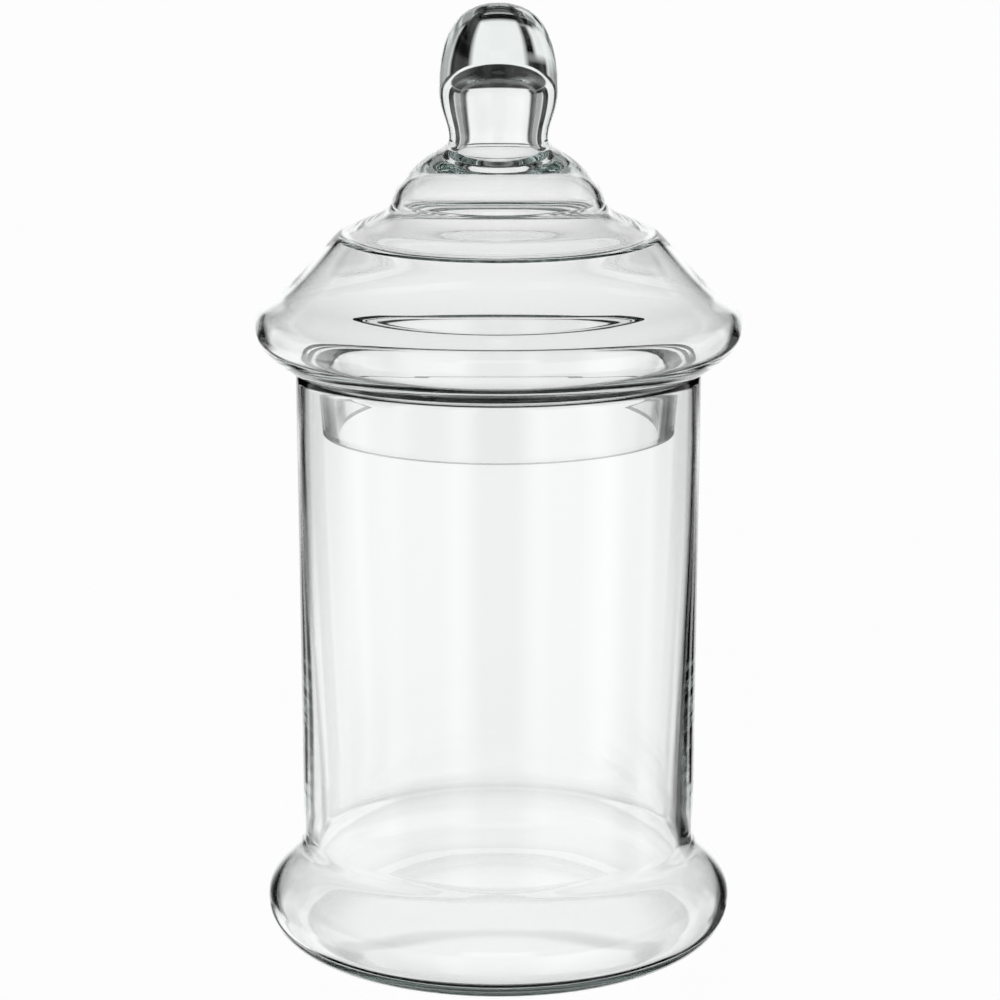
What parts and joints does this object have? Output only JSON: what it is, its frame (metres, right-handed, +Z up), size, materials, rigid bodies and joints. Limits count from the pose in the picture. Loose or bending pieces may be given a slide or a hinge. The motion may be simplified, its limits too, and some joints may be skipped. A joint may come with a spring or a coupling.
{
  "type": "apothecary jar",
  "caption": "Tall clear glass jar with a round flared foot and a loose stepped-dome lid with a plug collar and an egg-shaped finial.",
  "frame": {"origin": "centre of the jar's flat underside, on the table", "axes": "+Z up along the axis of the jar and the lid; the part is round, so +X and +Y are any two level directions"},
  "size_m": [0.164, 0.164, 0.32],
  "materials": {
    "jar_glass": "clear soda-lime glass, blown and fire-polished",
    "lid_glass": "clear soda-lime glass, blown, with a ground cut edge on the collar"
  },
  "bodies": {
    "jar": {"jar_rim": "jar_glass", "jar_wall": "jar_glass", "jar_waist": "jar_glass", "jar_foot": "jar_glass", "jar_floor": "jar_glass"},
    "lid": {"lid_collar": "lid_glass", "lid_brim": "lid_glass", "lower_dome": "lid_glass", "dome_ledge": "lid_glass", "upper_dome": "lid_glass", "finial_stem": "lid_glass", "finial_cap": "lid_glass"}
  },
  "joints": [
    {"name": "lid_lift", "type": "slide", "parent": "jar", "child": "lid", "axis": [0, 0, 1], "range_m": [0, 0.16]}
  ]
}
